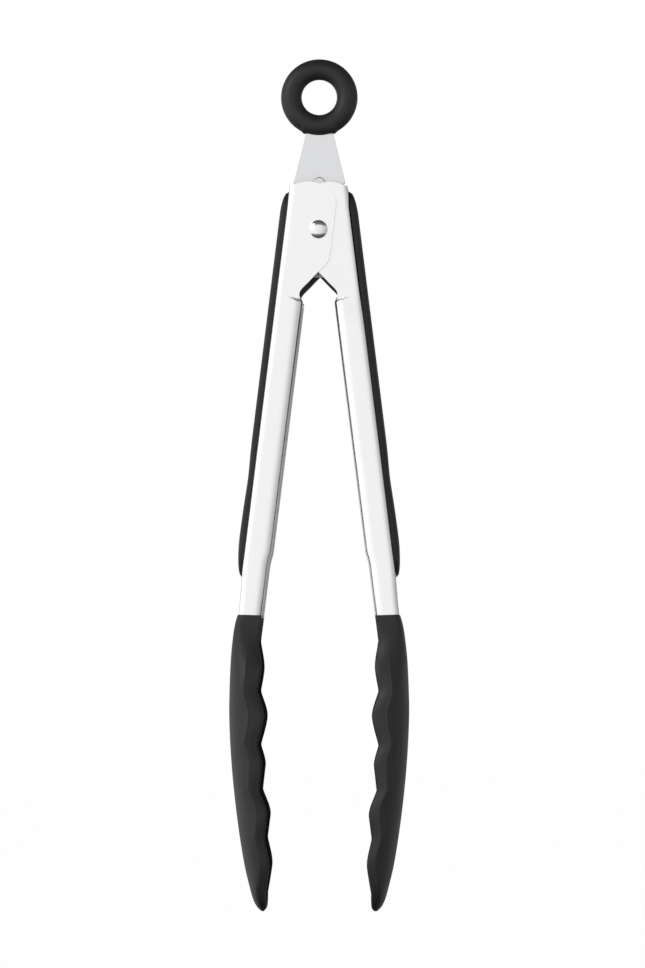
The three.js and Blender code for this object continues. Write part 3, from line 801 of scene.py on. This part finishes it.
# %% Tab sizes
TAB_OUTLINE = [
    (3.8, 34.6), (4.0, 32.2), (4.4, 30.6), (8.1, 15.6), (8.05, 15.2), (7.2, 14.7), (7.2, 2.2), (7.7, 1.2),
    (7.7, -3.0), (7.2, -4.2), (6.6, -12.4), (5.2, -14.2),
]
BUMP_Z, BUMP_RADIUS, BUMP_HEIGHT = 15.3, 1.55, 0.7
BUMP_ROOT, BUMP_TAPER = 0.3, 0.3
GROOVE, GROOVE_FLOOR = 0.22, 0.4
SLOT_RADIUS = SHANK_RADIUS + 0.3
SLOT_POINTS, GROOVE_POINTS, ROUND_SEGMENTS = 32, 40, 48
TAB_EDGE_ROUND = 0.14
print("tab length", TAB_OUTLINE[0][1] - TAB_OUTLINE[-1][1], "mm")


# %% Tab plate
def loop_of(bm, points, y):
    """A closed loop of edges through (x, z) points."""
    verts = [bm.verts.new((x, y, z)) for x, z in points]
    return [bm.edges.new((a, b)) for a, b in zip(verts, verts[1:] + verts[:1])]


def arc(radius, middle_z, first, last, around):
    """Points first to last, the last left out, of a circle with so many points around."""
    turns = [2 * math.pi * k / around for k in range(first, last)]
    return [(radius * math.cos(turn), radius * math.sin(turn) + middle_z) for turn in turns]


slot_top = arc(SLOT_RADIUS, 0, 0, SLOT_POINTS // 2 + 1, SLOT_POINTS)
slot_end = arc(SLOT_RADIUS, -TAB_TRAVEL, SLOT_POINTS // 2, SLOT_POINTS, SLOT_POINTS)
groove = arc(BUMP_RADIUS + GROOVE, BUMP_Z, 0, GROOVE_POINTS, GROOVE_POINTS)
outline = TAB_OUTLINE + [(-x, z) for x, z in reversed(TAB_OUTLINE)]
bm = bmesh.new()
edges = []
for loop in (outline, slot_top + slot_end, groove):
    edges += loop_of(bm, loop, -TAB_THICKNESS / 2)
bmesh.ops.triangle_fill(bm, edges=edges, use_beauty=True, normal=(0, -1, 0))
face_side = bmesh.ops.extrude_face_region(bm, geom=bm.faces[:])
raised = [item for item in face_side["geom"] if isinstance(item, bmesh.types.BMVert)]
bmesh.ops.translate(bm, verts=raised, vec=(0, TAB_THICKNESS, 0))


# %% Tab bumps
def round_on_tab(bm, y, bottom, top, depth, turn):
    """A round piece on the tab, its axis along the rivet's."""
    place = Matrix.Translation((0, y, BUMP_Z)) @ Matrix.Rotation(turn, 4, "X")
    bmesh.ops.create_cone(bm, cap_ends=True, segments=ROUND_SEGMENTS, radius1=bottom, radius2=top,
                          depth=depth, matrix=place)


for side in (-1, 1):
    middle = side * (TAB_THICKNESS / 2 + BUMP_HEIGHT / 2 - BUMP_ROOT / 2)
    turn = math.pi / 2 * side
    round_on_tab(bm, middle, BUMP_RADIUS, BUMP_RADIUS - BUMP_TAPER, BUMP_HEIGHT + BUMP_ROOT, turn)
floor_radius = BUMP_RADIUS + 1.5 * GROOVE  # past the groove's outer wall
round_on_tab(bm, 0, floor_radius, floor_radius, GROOVE_FLOOR, math.pi / 2)
tab = put(bm, "steel_tab", PIVOT_PLACE, "tab", "pull_tab", tab_look)
round_edges(tab, TAB_EDGE_ROUND, angle=30)

# %% [markdown]
# ## The rivet and its bushes
# Round parts could be built from cylinders and spheres, but their seams would show. They are drawn as
# half of their outline and spun about the rivet's axis. The rivet has a polished dome on each side. Two
# nylon bushes on its shank keep the tab in the middle, and the one with a flange carries the spring.


# %% Spun parts
def spun(profile, steps=64):
    """Spins rows of (radius, distance along the rivet) about the Y axis."""
    bm = bmesh.new()
    verts = [bm.verts.new((radius, along, 0)) for radius, along in profile]
    edges = [bm.edges.new(pair) for pair in zip(verts, verts[1:])]
    bmesh.ops.spin(bm, geom=verts + edges, cent=(0, 0, 0), axis=(0, 1, 0), angle=2 * math.pi, steps=steps,
                   use_merge=True)
    bmesh.ops.remove_doubles(bm, verts=bm.verts, dist=WELD)
    return bm


# %% Rivet
RIVET_HEAD_RADIUS = 2.87
HEAD_EDGE_ROUND, HEAD_EDGE_HEIGHT = 0.08, 0.1
DOME_FOOT, DOME_RISE, DOME_POWER, DOME_STEPS = 0.25, 1.31, 0.9, 12
HEAD_GAP = 0.04
UNDER_HEAD = OUTER_HALF_WIDTH + HEAD_GAP

upper = [(SHANK_RADIUS, UNDER_HEAD), (RIVET_HEAD_RADIUS - HEAD_EDGE_ROUND, UNDER_HEAD),
         (RIVET_HEAD_RADIUS, UNDER_HEAD + HEAD_EDGE_HEIGHT)]
for k in range(DOME_STEPS + 1):
    turn = k / DOME_STEPS * math.pi / 2
    radius = RIVET_HEAD_RADIUS * math.cos(turn) ** DOME_POWER if k < DOME_STEPS else 0.0
    upper.append((radius, UNDER_HEAD + DOME_FOOT + DOME_RISE * math.sin(turn)))
profile = [(radius, -along) for radius, along in reversed(upper)] + upper
put(spun(profile), "domed_rivet", PIVOT_PLACE, "pivot", "pivot_rivet", rivet_look)

# %% Bushes
BUSH_BORE = 2.15
BUSH_GAP = 0.1
BUSH_FROM = TAB_THICKNESS / 2 + BUSH_GAP
BUSH_TO = INNER_HALF_WIDTH - SHEET - BUSH_GAP
PLAIN_RADIUS = 3.7
FLANGE_RADIUS, FLANGE_THICKNESS, CARRIER_RADIUS = 5.2, 0.7, 3.0
BUSH_EDGE_ROUND = 0.2

plain = [(BUSH_BORE, -BUSH_TO), (PLAIN_RADIUS, -BUSH_TO), (PLAIN_RADIUS, -BUSH_FROM), (BUSH_BORE, -BUSH_FROM),
         (BUSH_BORE, -BUSH_TO)]
flange_end = BUSH_FROM + FLANGE_THICKNESS
flanged = [(BUSH_BORE, BUSH_FROM), (FLANGE_RADIUS, BUSH_FROM), (FLANGE_RADIUS, flange_end),
           (CARRIER_RADIUS, flange_end), (CARRIER_RADIUS, BUSH_TO), (BUSH_BORE, BUSH_TO),
           (BUSH_BORE, BUSH_FROM)]
for name, node, outline in (("front_bush", "spacer_bush", plain), ("rear_bush", "spring_bush", flanged)):
    bush = put(spun(outline), name, PIVOT_PLACE, "pivot", node, bush_look)
    round_edges(bush, BUSH_EDGE_ROUND)

# %% [markdown]
# ## The torsion spring
# One coil of steel wire sits on the rear bush, and a leg runs from each end of it to an arm's web. A
# curve with a bevel would make the wire too, but `spin` with a step along its axis turns a circle into a
# coil at once. When the arms close the legs bend, so each leg is a piece of its own.

# %% Spring sizes
WIRE_RADIUS, WIRE_SEGMENTS = 0.6, 16
COIL_RADIUS = 3.95
COIL_START_Y, COIL_END_Y = 2.3, 6.25
LEAVE = math.radians(19)
COIL_TURNS = 3 + (math.pi - 2 * LEAVE) / (2 * math.pi)
COIL_STEPS, LEG_STEPS = 150, 14
LEG_TIP_X, LEG_TIP_Z = 11.0, -20.0
print("coil turns", round(COIL_TURNS, 2))

# %% Coil
bm = bmesh.new()
across_wire = Matrix.Translation((COIL_RADIUS, COIL_START_Y, 0))
wire = bmesh.ops.create_circle(bm, segments=WIRE_SEGMENTS, radius=WIRE_RADIUS, matrix=across_wire)
bmesh.ops.spin(bm, geom=wire["verts"] + bm.edges[:], cent=(0, 0, 0), axis=(0, -1, 0),
               angle=2 * math.pi * COIL_TURNS, steps=COIL_STEPS,
               dvec=(0, (COIL_END_Y - COIL_START_Y) / COIL_STEPS, 0))
bmesh.ops.rotate(bm, verts=bm.verts, cent=(0, 0, 0), matrix=Matrix.Rotation(-LEAVE, 3, "Y"))
bmesh.ops.holes_fill(bm, edges=open_edges(bm), sides=0)
put(bm, "spring_coil", PIVOT_PLACE, "pivot", "torsion_spring", spring_look)


# %% Legs
def build_leg(side, body, y):
    """A straight leg of wire from the coil to an arm's web, extruded in short steps."""
    root = Vector((COIL_RADIUS * math.cos(LEAVE) * side, y, COIL_RADIUS * math.sin(LEAVE)))
    tip = Vector((LEG_TIP_X * side, y, LEG_TIP_Z))
    run = tip - root
    bm = bmesh.new()
    aim = Matrix.Translation(root) @ run.to_track_quat("Z", "Y").to_matrix().to_4x4()
    bmesh.ops.create_circle(bm, segments=WIRE_SEGMENTS, radius=WIRE_RADIUS, matrix=aim)
    ring_edges = bm.edges[:]
    for _ in range(LEG_STEPS):
        grown = bmesh.ops.extrude_edge_only(bm, edges=ring_edges)["geom"]
        ring_edges = [item for item in grown if isinstance(item, bmesh.types.BMEdge)]
        moved = [item for item in grown if isinstance(item, bmesh.types.BMVert)]
        bmesh.ops.translate(bm, verts=moved, vec=run / LEG_STEPS)
    bmesh.ops.holes_fill(bm, edges=open_edges(bm), sides=0)
    leg = put(bm, f"spring_leg_{body}", PIVOT_PLACE, None, "torsion_spring", spring_look)
    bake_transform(leg)


build_leg(1, "right", COIL_START_Y)
build_leg(-1, "left", COIL_END_Y)

# %% [markdown]
# ## Floor
# A pale floor lies a little below the tips. A lit floor would take shadows and turn grey towards its far
# edge. This one glows evenly instead, and neither reflections nor bounced light see it.

# %% Floor
FLOOR_Z, FLOOR_HALF, FLOOR_GLOW = -0.31, 6, 0.985
bm = bmesh.new()
bmesh.ops.create_grid(bm, x_segments=1, y_segments=1, size=FLOOR_HALF,
                      matrix=Matrix.Translation((0, 0, FLOOR_Z)))
floor_mesh = bpy.data.meshes.new("floor")
bm.to_mesh(floor_mesh)
bm.free()
floor = bpy.data.objects.new("floor", floor_mesh)
bpy.context.scene.collection.objects.link(floor)
floor_look, floor_shader = new_look("pale_floor", (0.02, 0.02, 0.02), 0.8)
floor_shader.inputs["Specular IOR Level"].default_value = 0.0
floor_shader.inputs["Emission Color"].default_value = (1, 1, 1, 1)
floor_shader.inputs["Emission Strength"].default_value = FLOOR_GLOW
floor_mesh.materials.append(floor_look)
floor.visible_glossy = False
floor.visible_diffuse = False
print("floor at z =", FLOOR_Z, "m")

# %% [markdown]
# ## The room's light
# Polished steel shows the room it stands in, so the room matters as much as the lamps. Many lamps and
# cards could build one, but a world with three brightness ramps does it at once: bright to the left and
# in front, dimmer to the right and behind, and dark overhead and underfoot, which puts the dark arcs on
# the rivet's dome. The camera itself sees plain white instead of the room.

# %% Room sizes
ROOM_STRENGTH, BACKDROP_STRENGTH = 1.25, 1.0
LEFT_TO_RIGHT = [(-1, 1.0), (-0.4, 0.95), (0.1, 0.8), (0.55, 0.62), (1, 0.45)]
DOWN_TO_UP = [(-1, 0.08), (-0.62, 0.18), (-0.35, 0.95), (0.35, 1.0), (0.62, 0.2), (1, 0.1)]
FRONT_TO_BEHIND = [(-1, 1.0), (0.1, 1.0), (0.7, 0.6), (1, 0.35)]

world = bpy.data.worlds.new("studio")
bpy.context.scene.world = world
world.use_nodes = True
nodes, links = world.node_tree.nodes, world.node_tree.links
nodes.clear()
direction = nodes.new("ShaderNodeTexCoord")
split = nodes.new("ShaderNodeSeparateXYZ")
links.new(direction.outputs["Generated"], split.inputs["Vector"])


# %% Room helpers
def room_brightness(axis, rows):
    """Brightness along one direction of the room, as rows of (direction from -1 to 1, brightness)."""
    unit = nodes.new("ShaderNodeMapRange")
    unit.inputs["From Min"].default_value = -1
    links.new(split.outputs[axis], unit.inputs["Value"])
    ramp = nodes.new("ShaderNodeValToRGB")
    ramp.color_ramp.interpolation = "EASE"
    stops = ramp.color_ramp.elements
    while len(stops) < len(rows):
        stops.new(0.5)
    for stop, (where, bright) in zip(stops, rows):
        stop.position = (where + 1) / 2
        stop.color = (bright, bright, bright, 1)
    links.new(unit.outputs["Result"], ramp.inputs["Fac"])
    return ramp.outputs["Color"]


def product(first, second):
    """Multiplies two colours."""
    node = nodes.new("ShaderNodeMix")
    node.data_type, node.blend_type = "RGBA", "MULTIPLY"
    node.inputs["Factor"].default_value = 1
    links.new(first, node.inputs["A"])
    links.new(second, node.inputs["B"])
    return node.outputs["Result"]


def white_background(strength):
    """A Background node of the given strength."""
    node = nodes.new("ShaderNodeBackground")
    node.inputs["Color"].default_value = (1, 1, 1, 1)
    node.inputs["Strength"].default_value = strength
    return node


# %% Room
flat = product(room_brightness("X", LEFT_TO_RIGHT), room_brightness("Z", DOWN_TO_UP))
room = white_background(ROOM_STRENGTH)
links.new(product(flat, room_brightness("Y", FRONT_TO_BEHIND)), room.inputs["Color"])
backdrop = white_background(BACKDROP_STRENGTH)
path = nodes.new("ShaderNodeLightPath")
seen = nodes.new("ShaderNodeMixShader")
links.new(path.outputs["Is Camera Ray"], seen.inputs["Fac"])
links.new(room.outputs["Background"], seen.inputs[1])
links.new(backdrop.outputs["Background"], seen.inputs[2])
out = nodes.new("ShaderNodeOutputWorld")
links.new(seen.outputs["Shader"], out.inputs["Surface"])
print("room nodes", len(nodes))

# %% [markdown]
# ## The lamp
# The room alone lights the left and the front evenly. One large soft square lamp, high on the left, adds
# the broad highlight on the round black parts. A small lamp or a sun would give hard spots on them.

# %% Lamp
LAMP_PLACE, LAMP_TARGET = Vector((-0.9, -0.7, 0.55)), Vector((0, 0, -0.12))
LAMP_SIZE, LAMP_WATTS = 0.7, 4.5
lamp_data = bpy.data.lights.new("key_lamp", "AREA")
lamp_data.shape = "SQUARE"
lamp_data.size = LAMP_SIZE
lamp_data.energy = LAMP_WATTS
lamp = bpy.data.objects.new("key_lamp", lamp_data)
bpy.context.scene.collection.objects.link(lamp)
lamp.location = LAMP_PLACE
lamp.rotation_euler = (LAMP_TARGET - LAMP_PLACE).to_track_quat("-Z", "Y").to_euler()
print("lamp", round((LAMP_TARGET - LAMP_PLACE).length, 2), "m away")

# %% [markdown]
# ## Camera
# The camera stands about a metre and a half away with a long lens, nearly square to the flat side and a
# little low. A shorter lens closer by would spread the heads apart. The Standard view keeps the white
# backdrop white.

# %% Camera
DISTANCE = 1.47
AZIMUTH, ELEVATION = math.radians(1.8), math.radians(-2.5)
LENS, SENSOR_WIDTH = 175.4, 36
NEAREST, FARTHEST = 0.01, 50
aim_point = Vector((0.0010, 0, -0.1265))
level = math.cos(ELEVATION)
back = Vector((math.sin(AZIMUTH) * level, -math.cos(AZIMUTH) * level, math.sin(ELEVATION)))
camera_data = bpy.data.cameras.new("camera")
camera_data.lens = LENS
camera_data.sensor_width = SENSOR_WIDTH
camera_data.clip_start, camera_data.clip_end = NEAREST, FARTHEST
camera = bpy.data.objects.new("camera", camera_data)
bpy.context.scene.collection.objects.link(camera)
camera.location = aim_point + back * DISTANCE
camera.rotation_euler = (-back).to_track_quat("-Z", "Y").to_euler()
bpy.context.scene.camera = camera
bpy.context.scene.view_settings.view_transform = "Standard"
print("camera at", [round(value, 3) for value in camera.location])
